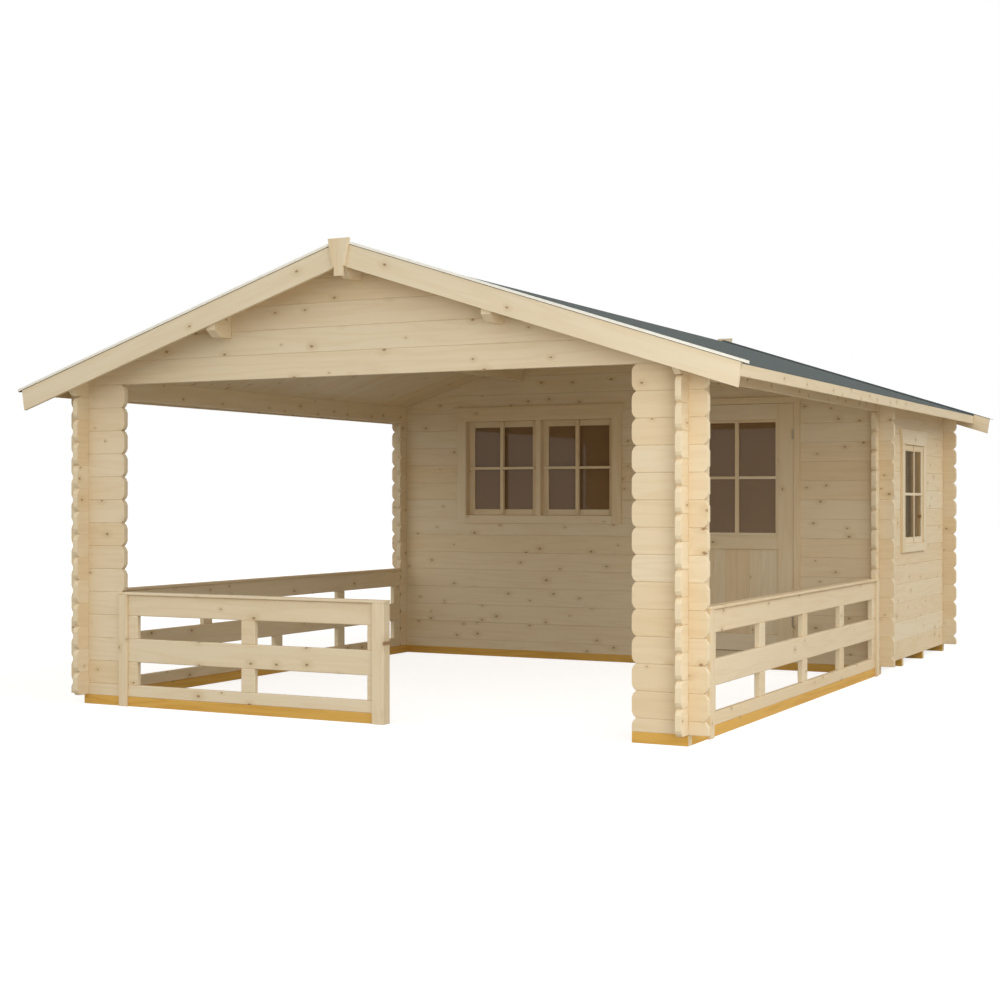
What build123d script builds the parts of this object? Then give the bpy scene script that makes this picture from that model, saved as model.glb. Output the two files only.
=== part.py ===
from build123d import *
from math import cos, hypot, radians, tan
import os

os.makedirs("parts", exist_ok=True)

# Plan: X runs across the cabin and Y from the veranda to the back, origin mid-plan on the ground.
width = 3800.0
depth = 5770.0
room_depth = 2050.0
corner_reach = 300.0

# Logs
log_thick = 34.0
log_pitch = 135.0
side_courses = 13
log_overhang = 100.0
joint_depth = 2.5
joint_half = 2.5
end_round_high = 31.0
end_round_deep = 23.0
end_round_bulge = 4.0

# Foundation and floor
beam_high = 56.0
beam_wide = 45.0
joist_spacing = 650.0
inner_joists = 2
floor_thick = 20.0
floor_gap = 6.0

# Roof
roof_pitch = 18.0
plate_high = 113.0
board_thick = 18.0
felt_thick = 3.0
gable_overhang = 152.0
eave_reach = 204.0
eave_board_thick = 18.0
eave_board_high = 62.0
purlin_wide = 58.0
purlin_high = 139.0
ridge_purlin_high = 152.0
purlin_at = 862.5
purlin_chamfer_high = 36.0
purlin_chamfer_long = 50.0
barge_thick = 20.0
barge_high = 117.0
barge_over_boards = 14.0
barge_past_eave = 104.0
barge_lean = 18.0
felt_set_back = 5.0
felt_past_barge = 28.0
cap_thick = 13.0
cap_wide = 45.0
cap_overhang = 6.0
finial_thick = 20.0
finial_rise = 29.0
finial_top_wide = 132.0
finial_shoulder_wide = 74.0
finial_shoulder_down = 149.0
finial_tip_wide = 54.0
finial_tip_down = 201.0

# Balustrades
balustrade_high = 594.0
rail_thick = 16.0
rail_lip = 16.0
rail_past_end = 4.0
front_balustrade_long = 1760.0
front_bays = 2
side_bays = 4
spacer_long = 93.0
front_end_spacer = 98.0
side_end_spacer = 95.0
trim_thick = 16.0
trim_wide = 60.0
trim_lap = 28.0

# Windows
light_wide = 594.0
light_high = 724.0
mullion_wide = 42.0
casing_wide = 74.0
casing_thick = 18.0
lintel_high = 110.0
lintel_thick = 21.0
lintel_flare = 34.0
bottom_casing_high = 62.0
lining_thick = 16.0
lining_depth = 82.0
sash_wide = 46.0
sash_thick = 30.0
glass_thick = 4.0
double_window_off_centre = -711.5
double_window_up = 1030.0
double_window_setback = 47.0
side_window_from_back = 1079.0
side_window_up = 828.0
side_window_setback = -8.0

# Door
door_off_centre = 875.0
leaf_wide = 826.0
leaf_high = 1755.0
leaf_thick = 40.0
leaf_proud = 15.0
leaf_gap = 5.0
stile_wide = 108.0
bottom_rail_high = 120.0
lock_rail_up = 724.0
lock_rail_high = 97.0
bead_wide = 20.0
panel_thick = 20.0
jamb_thick = 24.0
stop_deep = 12.0
door_casing_wide = 46.0
door_casing_thick = 18.0
hinge_radius = 5.0
pin_radius = 2.5
hinge_high = 72.0
hinge_flap = 24.0
hinge_flap_thick = 1.6
hinge_from_end = 180.0
handle_up = 870.0
handle_bar = 12.0
handle_reach = 110.0
handle_standoff = 44.0
handle_plate_wide = 36.0
handle_plate_high = 210.0
handle_plate_thick = 4.0
running_gap = 0.3

# Places that follow from the sizes above
half_width = width / 2
front = -depth / 2
back = depth / 2
room_front = back - room_depth
side_inner = half_width - log_thick
half_log = log_pitch / 2
quarter_log = log_pitch / 4
cross_base = beam_high + half_log
plate_bottom = beam_high + side_courses * log_pitch
cross_top = cross_base + side_courses * log_pitch
log_end = half_width + log_overhang
slope = tan(radians(roof_pitch))
ridge_under = plate_bottom + plate_high + half_width * slope
steepness = 1 / cos(radians(roof_pitch))
eave = half_width + eave_reach
barge_end = eave + barge_past_eave
roof_front = front - gable_overhang
roof_back = back + gable_overhang
boards_over = board_thick * steepness
felt_end = barge_end + barge_lean + felt_past_barge
roof_over = (board_thick + felt_thick) * steepness
barge_over = (board_thick + barge_over_boards) * steepness
barge_felt_over = barge_over + felt_thick * steepness
rail_bottom = beam_high + balustrade_high
door_left = door_off_centre - leaf_wide / 2
door_right = door_off_centre + leaf_wide / 2
door_bottom = cross_base + leaf_gap
door_top = door_bottom + leaf_high
door_face = room_front - leaf_proud
doorway_side = leaf_gap + jamb_thick
upward = (Align.CENTER, Align.CENTER, Align.MIN)


def under_roof(x):
    """Level of the roof boards' underside at a distance x from the ridge."""
    return ridge_under - abs(x) * slope


def block(x0, x1, y0, y1, z0, z1):
    """A straight board or beam between two corners."""
    box = Box(abs(x1 - x0), abs(y1 - y0), z1 - z0, align=(Align.MIN, Align.MIN, Align.MIN))
    return Pos(min(x0, x1), min(y0, y1), z0) * box


def extrude_along_y(outline, y0, y1):
    """An outline drawn in X and Z, made solid from y0 to y1."""
    return Pos(0, y0, 0) * extrude(Plane.XZ * make_face(outline), amount=y1 - y0, dir=(0, 1, 0))


def extrude_along_x(outline, x0, x1):
    """An outline drawn in Y and Z, made solid from x0 to x1."""
    return Pos(x0, 0, 0) * extrude(Plane.YZ * make_face(outline), amount=x1 - x0, dir=(1, 0, 0))


def ring(points):
    """A closed outline through points."""
    return Polyline(*points, close=True)


def joint_levels(base, z0, z1):
    """Levels of the joints between logs from z0 to z1, both included, counted from base."""
    count = int((ridge_under - base) / log_pitch) + 1
    levels = [base + n * log_pitch for n in range(count)]
    return [z for z in levels if z0 - joint_depth < z < z1 + joint_depth]


def log_section(near, outward, z0, z1, joints):
    """Upright section of stacked logs, with a V at each joint on their outward face."""
    far = near + log_thick
    outer, inner = (near, far) if outward < 0 else (far, near)
    points = [(inner, z1), (inner, z0), (outer, z0)]
    for z in joints:
        if z0 + joint_half < z < z1 - joint_half:
            points += [(outer, z - joint_half), (outer - outward * joint_depth, z), (outer, z + joint_half)]
    return ring(points + [(outer, z1)])


def round_end(end, inward, z):
    """Outline of the hollow between two rounded log ends that meet at the joint level z."""
    chord = hypot(end_round_deep, end_round_high)
    out, over = end_round_bulge * end_round_high / chord, end_round_bulge * end_round_deep / chord
    middle, rise = end + inward * (end_round_deep / 2 - out), end_round_high / 2 - over
    outside, tip = end - inward * joint_depth, end + inward * end_round_deep
    lower = [(outside, z - end_round_high), (end, z - end_round_high), (middle, z - rise)]
    upper = [(place, 2 * z - level) for place, level in reversed(lower)]
    return ring([*lower, (tip, z), *upper])


def cross_wall(y, x0, x1, z0, z1, crossings, free_ends):
    """Logs along X, notched where side logs cross them and rounded at their free ends."""
    joints = joint_levels(cross_base, z0, z1)
    y1 = y + log_thick
    outward = 1 if y > room_front else -1
    cuts = []
    for z in joints:
        for x in crossings:
            cuts.append(block(x, x + log_thick, y, y1, z - quarter_log, z + quarter_log))
        for end, inward in free_ends:
            cuts.append(extrude_along_y(round_end(end, inward, z), y, y1))
    return extrude_along_x(log_section(y, outward, z0, z1, joints), x0, x1) - cuts


def side_wall(x, y0, y1, z0, z1, crossings, free_ends):
    """Logs along Y, notched where cross logs pass them and rounded at their free ends."""
    joints = joint_levels(beam_high, z0, z1)
    x1 = x + log_thick
    outward = 1 if x > 0 else -1
    cuts = []
    for z in joints:
        for y in crossings:
            cuts.append(block(x, x1, y, y + log_thick, z - quarter_log, z + quarter_log))
        for end, inward in free_ends:
            cuts.append(extrude_along_x(round_end(end, inward, z), x, x1))
    return extrude_along_y(log_section(x, outward, z0, z1, joints), y0, y1) - cuts


def over_the_slopes(y0, y1):
    """All space over the roof boards' underside, which trims walls and purlins to the roof."""
    high = ridge_under + log_pitch
    low = under_roof(barge_end)
    points = [(-barge_end, low), (0, ridge_under), (barge_end, low), (barge_end, high), (-barge_end, high)]
    return extrude_along_y(ring(points), y0, y1)


def purlin_lines():
    """Distance from the ridge and bottom level of each purlin."""
    side_bottom = under_roof(purlin_at + purlin_wide / 2) - purlin_high
    ridge_bottom = ridge_under - ridge_purlin_high
    return [(0, ridge_bottom), (-purlin_at, side_bottom), (purlin_at, side_bottom)]


def purlins(y0, y1):
    """The ridge purlin and the two side purlins, trimmed to the slopes."""
    trim_off = over_the_slopes(y0, y1)
    half = purlin_wide / 2
    return [block(x - half, x + half, y0, y1, z, ridge_under) - trim_off for x, z in purlin_lines()]


def gable(y):
    """Logs over the wall tops, trimmed to the roof and notched over the purlins and plates."""
    logs = cross_wall(y, -log_end, log_end, cross_top, ridge_under, (-half_width, side_inner), ())
    return logs - over_the_slopes(y, y + log_thick) - purlins(y, y + log_thick)


def corner_posts():
    """The crossing log stubs that stand as posts at the two front corners."""
    parts = {}
    y0, y1 = front - log_overhang, front + corner_reach
    for side, name in ((-1, "left"), (1, "right")):
        x0, x1 = sorted((side * (half_width - corner_reach), side * log_end))
        wall_x = -half_width if side < 0 else side_inner
        parts[f"front_{name}_cross_logs"] = cross_wall(
            front, x0, x1, beam_high, cross_top, (wall_x,), ((x0, 1), (x1, -1))
        )
        parts[f"front_{name}_side_logs"] = side_wall(
            wall_x, y0, y1, beam_high, plate_bottom, (front,), ((y0, 1), (y1, -1))
        )
    return parts


def doorway():
    """The doorway's space, from the sill log to the top of the door frame."""
    x0, x1 = door_left - doorway_side, door_right + doorway_side
    return block(x0, x1, room_front, room_front + log_thick, cross_base, door_top + doorway_side)


def cabin_walls():
    """The room's log walls, the front one split beside and over the doorway."""
    crossings = (-half_width, side_inner)
    y0, y1 = room_front - log_overhang, back + log_overhang
    side_ends = ((y0, 1), (y1, -1))
    left_end, right_end = (-log_end, 1), (log_end, -1)
    rear = back - log_thick
    cross_walls = (room_front, rear)
    left_wall = side_wall(-half_width, y0, y1, beam_high, plate_bottom, cross_walls, side_ends)
    right_wall = side_wall(side_inner, y0, y1, beam_high, plate_bottom, cross_walls, side_ends)
    x0, x1 = door_left - doorway_side, door_right + doorway_side
    front_left = cross_wall(room_front, -log_end, x0, cross_base, cross_top, crossings[:1], (left_end,))
    front_right = cross_wall(room_front, x1, log_end, cross_base, cross_top, crossings[1:], (right_end,))
    both_ends = (left_end, right_end)
    return {
        "cabin_left_wall": left_wall,
        "cabin_right_wall": right_wall - side_window_place() * window_hole(1),
        "cabin_front_sill_log": cross_wall(
            room_front, -log_end, log_end, beam_high, cross_base, crossings, both_ends
        ),
        "cabin_front_wall_left": front_left - double_window_place() * window_hole(2),
        "cabin_front_wall_right": front_right,
        "cabin_front_gable": gable(room_front) - doorway(),
        "cabin_rear_wall": cross_wall(rear, -log_end, log_end, beam_high, cross_top, crossings, both_ends),
        "cabin_rear_gable": gable(rear),
        "front_gable": gable(front),
    }


def end_chamfer(x, wide, end, outward, z):
    """The wedge cut off the lower corner at a purlin's or a plate's end."""
    points = [(end, z), (end - outward * purlin_chamfer_long, z), (end, z + purlin_chamfer_high)]
    return extrude_along_x(ring(points), x, x + wide)


def roof_timbers():
    """Purlins and wall plates, which carry the roof boards from gable end to gable end."""
    ends = ((roof_front, -1), (roof_back, 1))
    timbers = []
    for (x, z), log in zip(purlin_lines(), purlins(roof_front, roof_back)):
        cuts = [end_chamfer(x - purlin_wide / 2, purlin_wide, y, outward, z) for y, outward in ends]
        timbers.append(log - cuts)
    walls = (front, room_front, back - log_thick)
    top = plate_bottom + log_pitch
    plates = []
    for x in (-half_width, side_inner):
        log = side_wall(x, roof_front, roof_back, plate_bottom, top, walls, ())
        cuts = [end_chamfer(x, log_thick, y, outward, plate_bottom) for y, outward in ends]
        plates.append(log - over_the_slopes(roof_front, roof_back) - cuts)
    return {"ridge_purlin": timbers[0], "side_purlins": timbers[1:], "wall_plates": plates}


def slope_layer(side, low, high, reach, y0, y1):
    """A layer on one slope, between two levels over the boards' underside."""
    end = under_roof(reach)
    points = [
        (0, ridge_under + low),
        (side * reach, end + low),
        (side * reach, end + high),
        (0, ridge_under + high),
    ]
    return extrude_along_y(ring(points), y0, y1)


def barge_faces():
    """Inner and outer face of the barge boards at the front and at the rear, and the way they face."""
    return [(roof_front, roof_front - barge_thick, -1), (roof_back, roof_back + barge_thick, 1)]


def felt():
    """The felt over both slopes, turned up behind the barge boards and over their tops."""
    sheet = []
    for side in (-1, 1):
        sheet.append(slope_layer(side, boards_over, roof_over, eave, roof_front, roof_back))
        for inner, outer, outward in barge_faces():
            behind = inner - outward * felt_thick
            y0, y1 = sorted((behind, inner))
            sheet.append(slope_layer(side, boards_over, barge_felt_over, eave, y0, y1))
            y0, y1 = sorted((behind, outer - outward * felt_set_back))
            sheet.append(slope_layer(side, barge_over, barge_felt_over, felt_end, y0, y1))
    return sheet[0] + sheet[1:]


def roof_covering():
    """Boards on each slope, the felt folded over the ridge, and the eave boards."""
    board_end = eave - eave_board_thick
    top = under_roof(eave) + boards_over
    eaves = []
    for side in (-1, 1):
        points = [
            (side * board_end, top - eave_board_high),
            (side * eave, top - eave_board_high),
            (side * eave, top),
            (side * board_end, under_roof(board_end) + boards_over),
        ]
        eaves.append(extrude_along_y(ring(points), roof_front, roof_back))
    return {
        "roof_boards_left": slope_layer(-1, 0, boards_over, board_end, roof_front, roof_back),
        "roof_boards_right": slope_layer(1, 0, boards_over, board_end, roof_front, roof_back),
        "roof_felt": felt(),
        "eave_boards": eaves,
    }


def barge_board(side, y0, y1):
    """One barge board, its foot cut at a slight lean."""
    foot_over = barge_over - barge_high * steepness
    top_end = barge_end + barge_lean
    points = [
        (0, ridge_under + barge_over),
        (side * top_end, under_roof(top_end) + barge_over),
        (side * barge_end, under_roof(barge_end) + foot_over),
        (0, ridge_under + foot_over),
    ]
    return extrude_along_y(ring(points), y0, y1)


def finial(y0, y1):
    """The keystone-shaped block over the joint of two barge boards."""
    top = ridge_under + roof_over + finial_rise
    shoulder, tip = top - finial_shoulder_down, top - finial_tip_down
    half = [
        (finial_top_wide / 2, top),
        (finial_shoulder_wide / 2, shoulder),
        (finial_tip_wide / 2, shoulder),
        (finial_tip_wide / 2, tip),
    ]
    return extrude_along_y(ring(half + [(-x, z) for x, z in reversed(half)]), y0, y1)


def gable_trim():
    """Barge boards and finials at both gable ends, and the strips nailed over the felt in front."""
    cap_over = barge_felt_over + cap_thick * steepness
    y0 = roof_front - barge_thick - cap_overhang
    left, right = [slope_layer(s, barge_felt_over, cap_over, felt_end, y0, y0 + cap_wide) for s in (-1, 1)]
    strips = left + right
    boards, finials = [], []
    for inner, outer, outward in barge_faces():
        y0, y1 = sorted((inner, outer))
        boards += [barge_board(side, y0, y1) for side in (-1, 1)]
        y0, y1 = sorted((outer, outer + outward * finial_thick))
        finials.append(finial(y0, y1) - strips)
    return {"barge_boards": boards, "barge_cap": strips, "finials": finials}


def foundation():
    """Beams and joists that lie on the ground, and the room's floor."""
    stub_inner = half_width - corner_reach
    beam_back = front + beam_wide
    beam_inner = half_width - beam_wide
    front_beams = [
        block(-half_width, front_balustrade_long - stub_inner, front, beam_back, 0, beam_high),
        block(stub_inner, half_width, front, beam_back, 0, beam_high),
    ]
    side_beams = [
        block(-half_width, -beam_inner, beam_back, room_front, 0, beam_high),
        block(beam_inner, half_width, beam_back, room_front, 0, beam_high),
    ]
    first = room_front + beam_wide
    joist_backs = [first + n * joist_spacing for n in range(1, inner_joists + 1)] + [back]
    joists = [block(-half_width, half_width, y - beam_wide, y, 0, beam_high) for y in joist_backs]
    floor = block(
        -side_inner + floor_gap,
        side_inner - floor_gap,
        room_front + log_thick + floor_gap,
        back - log_thick - floor_gap,
        beam_high,
        beam_high + floor_thick,
    )
    return {
        "front_beams": front_beams,
        "side_beams": side_beams,
        "cabin_front_beam": block(-half_width, half_width, room_front, first, 0, beam_high),
        "floor_joists": joists,
        "floor_boards": floor,
    }


def fence(length, bays, end_spacer):
    """A balustrade along X from 0: three log bands, with spacers in the two gaps."""
    low_gap = (cross_base, cross_base + log_pitch)
    high_gap = (low_gap[1] + log_pitch, low_gap[1] + 2 * log_pitch)
    panel = block(0, length, 0, log_thick, beam_high, low_gap[0])
    panel += block(0, length, 0, log_thick, low_gap[1], high_gap[0])
    panel += block(0, length, 0, log_thick, high_gap[1], rail_bottom)
    clear = (length - 2 * end_spacer - (bays - 1) * spacer_long) / bays
    spacers = [(0, end_spacer), (length - end_spacer, length)]
    for n in range(1, bays):
        x = end_spacer + n * clear + (n - 1) * spacer_long
        spacers.append((x, x + spacer_long))
    for x0, x1 in spacers:
        for z0, z1 in (low_gap, high_gap):
            panel += block(x0, x1, 0, log_thick, z0, z1)
    return panel


def rail(length, lip_end):
    """A balustrade's cap rail along X from 0, its outer lip running on over the trims."""
    top = rail_bottom + rail_thick
    board = block(0, length, -rail_lip, log_thick + rail_lip, rail_bottom, top)
    return board + block(-trim_lap, lip_end, -rail_lip, 0, rail_bottom, top)


def trim(x):
    """An upright trim board on the outer face of a balustrade, down to the ground."""
    return block(x, x + trim_wide, -trim_thick, 0, 0, rail_bottom)


def end_trim(end):
    """Boards boxed round the free end of the front balustrade."""
    back_face = log_thick + trim_thick
    boards = block(end, end + trim_thick, -trim_thick, back_face, 0, rail_bottom) + trim(end - trim_wide)
    return boards + block(end - trim_wide, end, log_thick, back_face, beam_high, rail_bottom)


def balustrades():
    """The front balustrade up to the entry, and one on each side up to the room."""
    side_long = depth - room_depth - corner_reach - log_overhang
    front_long = front_balustrade_long
    front_place = Pos(corner_reach - half_width, front, 0)
    left_place = Pos(-half_width, room_front - log_overhang, 0) * Rot(0, 0, -90)
    right_place = Pos(half_width, front + corner_reach, 0) * Rot(0, 0, 90)
    side_fence = fence(side_long, side_bays, side_end_spacer)
    front_rail_long = front_long + trim_thick + rail_past_end
    rails = [front_place * rail(front_rail_long, front_rail_long)]
    trims = [front_place * trim(-trim_lap), front_place * end_trim(front_long)]
    for place in (left_place, right_place):
        rails.append(place * rail(side_long, side_long + trim_lap))
        trims += [place * trim(-trim_lap), place * trim(side_long + trim_lap - trim_wide)]
    return {
        "front_balustrade": front_place * fence(front_long, front_bays, front_end_spacer),
        "left_balustrade": left_place * side_fence,
        "right_balustrade": right_place * side_fence,
        "rail_caps": rails,
        "balustrade_trims": trims,
    }


def double_window_place():
    """Where the double window's middle and bottom lie, on the cabin's front wall."""
    return Pos(double_window_off_centre, room_front, beam_high + double_window_up)


def side_window_place():
    """Where the side window's middle and bottom lie, turned to face right."""
    return Pos(half_width, back - side_window_from_back, beam_high + side_window_up) * Rot(0, 0, 90)


def half_opening(lights):
    """Half the clear width inside the lining of a window with this many lights."""
    return (lights * light_wide + (lights - 1) * mullion_wide) / 2


def window_hole(lights):
    """The hole through the wall that a window's lining fills."""
    half = half_opening(lights) + lining_thick
    return block(-half, half, 0, log_thick, -lining_thick, light_high + lining_thick)


def window_frame(lights):
    """Lining, casings, lintel and mullion of a window whose wall face is at y = 0."""
    half = half_opening(lights)
    outer = half + casing_wide
    lined = half + lining_thick
    frame = block(-outer, outer, -casing_thick, 0, -bottom_casing_high, light_high)
    frame += block(-lined, lined, 0, lining_depth, -lining_thick, light_high + lining_thick)
    frame -= block(-half, half, -casing_thick, lining_depth, 0, light_high)
    points = [
        (-outer, light_high),
        (outer, light_high),
        (outer + lintel_flare, light_high + lintel_high),
        (-outer - lintel_flare, light_high + lintel_high),
    ]
    frame += extrude_along_y(ring(points), -lintel_thick, 0)
    for n in range(1, lights):
        x = n * (light_wide + mullion_wide) - mullion_wide - half
        frame += block(x, x + mullion_wide, 0, lining_depth, 0, light_high)
    return frame


def sashes(lights, setback):
    """The sashes of a window, so far behind its wall's face, and their panes of glass."""
    y0, y1 = setback, setback + sash_thick
    pane_face = (y0 + y1 - glass_thick) / 2
    frames, panes = [], []
    for n in range(lights):
        x0 = n * (light_wide + mullion_wide) - half_opening(lights) + running_gap
        x1 = x0 + light_wide - 2 * running_gap
        z0, z1 = running_gap, light_high - running_gap
        a0, a1, b0, b1 = x0 + sash_wide, x1 - sash_wide, z0 + sash_wide, z1 - sash_wide
        frames.append(block(x0, x1, y0, y1, z0, z1) - block(a0, a1, y0, y1, b0, b1))
        panes.append(block(a0, a1, pane_face, pane_face + glass_thick, b0, b1))
    return frames, panes


def windows():
    """The double window in the cabin's front wall and the single one in its right wall."""
    all_sashes, all_panes = [], []
    double = (double_window_place(), 2, double_window_setback)
    single = (side_window_place(), 1, side_window_setback)
    for place, lights, setback in (double, single):
        frames, panes = sashes(lights, setback)
        all_sashes += [place * frame for frame in frames]
        all_panes += [place * pane for pane in panes]
    return {
        "double_window_frame": double_window_place() * window_frame(2),
        "side_window_frame": side_window_place() * window_frame(1),
        "window_sashes": all_sashes,
        "window_glass": all_panes,
    }


def door_frame():
    """Jambs and head lining the doorway, with a stop behind the leaf and a casing in front."""
    x0, x1 = door_left - leaf_gap, door_right + leaf_gap
    z0, top = cross_base, door_top + leaf_gap
    face = room_front - door_casing_thick
    inner = room_front + lining_depth
    stop_face = door_face + leaf_thick + leaf_gap
    wide, deep = door_casing_wide, stop_deep
    frame = block(x0 - jamb_thick, x1 + jamb_thick, room_front, inner, z0, top + jamb_thick)
    frame += block(x0 - wide, x1 + wide, face, room_front, z0, top + wide)
    frame -= block(x0, x1, face, stop_face, z0, top)
    return frame - block(x0 + deep, x1 - deep, stop_face, inner, z0, top - deep)


def glass_space():
    """The opening in the leaf that the glass closes, as the two corners of a block."""
    edge = stile_wide + bead_wide
    z0 = door_bottom + lock_rail_up + lock_rail_high + bead_wide
    y1 = door_face + leaf_thick
    return door_left + edge, door_right - edge, door_face, y1, z0, door_top - edge


def handle_spot():
    """Where the handle's spindle goes through the left stile."""
    return door_left + stile_wide / 2, door_bottom + handle_up


def spindle(room, y0, y1):
    """A square bar through the handle's spot, with so much room round it."""
    x, z = handle_spot()
    half = handle_bar / 2 + room
    return block(x - half, x + half, y0, y1, z - half, z + half)


def door_leaf():
    """The leaf, open for glass above the lock rail and recessed for the boards below it."""
    rear = door_face + leaf_thick
    leaf = block(door_left, door_right, door_face, rear, door_bottom, door_top)
    x0, x1 = door_left + stile_wide, door_right - stile_wide
    z0, z1 = door_bottom + bottom_rail_high, door_bottom + lock_rail_up
    recess = (leaf_thick - panel_thick) / 2
    leaf -= block(x0, x1, door_face, door_face + recess, z0, z1)
    leaf -= block(x0, x1, rear - recess, rear, z0, z1)
    return leaf - block(*glass_space()) - spindle(running_gap, door_face, rear)


def door_glass():
    """The sheet of glass, mid-way through the leaf."""
    x0, x1, y0, y1, z0, z1 = glass_space()
    pane_face = (y0 + y1 - glass_thick) / 2
    return block(x0, x1, pane_face, pane_face + glass_thick, z0, z1)


def door_handle():
    """Two lever handles of square bar on one spindle, with a plate on each face of the leaf."""
    x, z = handle_spot()
    rear = door_face + leaf_thick
    handle = spindle(0, door_face - handle_standoff, rear + handle_standoff)
    half, bar_half = handle_plate_wide / 2, handle_bar / 2
    z0 = z - 2 * handle_plate_high / 3
    for face, outward in ((door_face, -1), (rear, 1)):
        plate_face, end = face + outward * handle_plate_thick, face + outward * handle_standoff
        handle += block(x - half, x + half, face, plate_face, z0, z0 + handle_plate_high)
        handle += block(x, x + handle_reach, end, end - outward * handle_bar, z - bar_half, z + bar_half)
    return handle


def hinge_line():
    """Plan position of the hinge pins, in front of the gap beside the leaf."""
    return door_right + leaf_gap / 2, room_front - door_casing_thick - hinge_radius


def upright_pin(radius, z0, z1):
    """A cylinder on the hinge line from z0 to z1."""
    x, y = hinge_line()
    return Pos(x, y, z0) * Cylinder(radius, z1 - z0, align=upward)


def hinge_halves(z0):
    """A lift-off hinge from z0 up: the frame's knuckle holds the pin, the leaf's turns on it."""
    x, y = hinge_line()
    middle, top = z0 + hinge_high / 2, z0 + hinge_high
    pin_top = top - hinge_radius
    flap_end = room_front + hinge_flap
    frame_side, leaf_side = x + leaf_gap / 2, x - leaf_gap / 2
    frame_half = upright_pin(hinge_radius, z0, middle) + upright_pin(pin_radius, middle, pin_top)
    frame_half += block(frame_side - hinge_flap_thick, frame_side, y, flap_end, z0, middle)
    low = middle + running_gap
    leaf_half = upright_pin(hinge_radius, low, top)
    leaf_half += block(leaf_side, leaf_side + hinge_flap_thick, y, flap_end, low, top)
    return frame_half, leaf_half - upright_pin(pin_radius + running_gap, low, pin_top + running_gap)


def door():
    """The door, its frame and its hinges."""
    lower = hinge_halves(door_bottom + hinge_from_end)
    upper = hinge_halves(door_top - hinge_from_end - hinge_high)
    return {
        "door_frame": door_frame(),
        "door_leaf": door_leaf(),
        "door_glass": door_glass(),
        "door_handle": door_handle(),
        "frame_hinge_halves": [lower[0], upper[0]],
        "leaf_hinge_halves": [lower[1], upper[1]],
    }


def write(name, shape):
    """Save one node, with its solids side by side where it has several."""
    pieces = shape if isinstance(shape, list) else [shape]
    solids = [solid for piece in pieces for solid in piece.solids()]
    whole = Compound(children=solids) if len(solids) > 1 else solids[0]
    export_step(whole, f"parts/{name}.step")


cabin = {
    **foundation(),
    **corner_posts(),
    **cabin_walls(),
    **roof_timbers(),
    **roof_covering(),
    **gable_trim(),
    **balustrades(),
    **windows(),
    **door(),
}
for name, shape in cabin.items():
    write(name, shape)
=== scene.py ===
import bpy
import bmesh
import random
from math import cos, pi, radians, sin, tan
from mathutils import Matrix, Vector


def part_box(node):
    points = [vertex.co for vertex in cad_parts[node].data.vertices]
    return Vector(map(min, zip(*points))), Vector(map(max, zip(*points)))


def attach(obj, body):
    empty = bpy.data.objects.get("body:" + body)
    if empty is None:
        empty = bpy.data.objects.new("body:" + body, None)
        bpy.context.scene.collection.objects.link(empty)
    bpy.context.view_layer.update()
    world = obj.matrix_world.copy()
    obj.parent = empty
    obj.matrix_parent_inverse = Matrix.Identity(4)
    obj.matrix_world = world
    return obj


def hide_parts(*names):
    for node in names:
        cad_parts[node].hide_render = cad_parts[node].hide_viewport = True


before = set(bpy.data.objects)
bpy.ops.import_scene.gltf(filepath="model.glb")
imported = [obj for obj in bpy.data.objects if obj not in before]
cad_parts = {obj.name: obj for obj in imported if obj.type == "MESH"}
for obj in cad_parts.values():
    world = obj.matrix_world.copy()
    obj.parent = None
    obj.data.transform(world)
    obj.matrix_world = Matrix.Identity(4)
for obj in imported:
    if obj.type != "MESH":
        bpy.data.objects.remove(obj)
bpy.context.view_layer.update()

# Sizes in metres, as the solids have them
WALL = 0.034
LOG_PITCH = 0.135
CROSS_BASE = 0.1235  # under the first whole log that lies along X
SIDE_BASE = 0.056  # under the first whole log that lies along Y
HALF_WIDTH = 1.9
ROOM_FRONT = 0.835
ROOF_PITCH = radians(18)
RIDGE_UNDER = 1.924 + HALF_WIDTH * tan(ROOF_PITCH)
ROOF_HALF_WIDE, ROOF_HALF_LONG, ROOF_BOARD_THICK = 2.086, 3.037, 0.018
ROOF_BOARDS, FLOOR_BOARDS = 63, 31
FRONT_FENCE, SIDE_FENCE, FENCE_TOP, RAIL_TOP = 1.76, 3.32, 0.65, 0.666
LOG_BANDS = ((0.056, 0.1235), (0.2585, 0.3935), (0.5285, FENCE_TOP))
SPACER_ROWS = ((0.1235, 0.2585), (0.3935, 0.5285))
LIGHT_WIDE, LIGHT_HIGH, MULLION = 0.594, 0.724, 0.042
SASH_DEEP, SASH_WIDE, SASH_GAP = 0.03, 0.046, 0.0003
LEAF_LEFT, LEAF_RIGHT, LEAF_LOW, LEAF_HIGH = 0.462, 1.288, 0.1285, 1.8835
LEAF_FACE, LEAF_BACK, LEAF_GAP = 0.82, 0.86, 0.005
GLASS_FACE, GLASS_BACK = 0.8378, 0.8422

# A face counts as sawn across the grain when this much of its normal lies along the grain
SAWN_ACROSS = 0.75

# The left ends of the fences and the middles of the window sills: X along each, Y inward
FRONT_FENCE_PLACE = Matrix.Translation((-1.6, -2.885, 0))
LEFT_FENCE_PLACE = Matrix.Translation((-HALF_WIDTH, 0.735, 0)) @ Matrix.Rotation(-pi / 2, 4, "Z")
RIGHT_FENCE_PLACE = Matrix.Translation((HALF_WIDTH, -2.585, 0)) @ Matrix.Rotation(pi / 2, 4, "Z")
DOUBLE_WINDOW = Matrix.Translation((-0.7115, ROOM_FRONT, 1.086))
SIDE_WINDOW = Matrix.Translation((HALF_WIDTH, 1.806, 0.884)) @ Matrix.Rotation(pi / 2, 4, "Z")

chance = random.Random(11)


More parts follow.
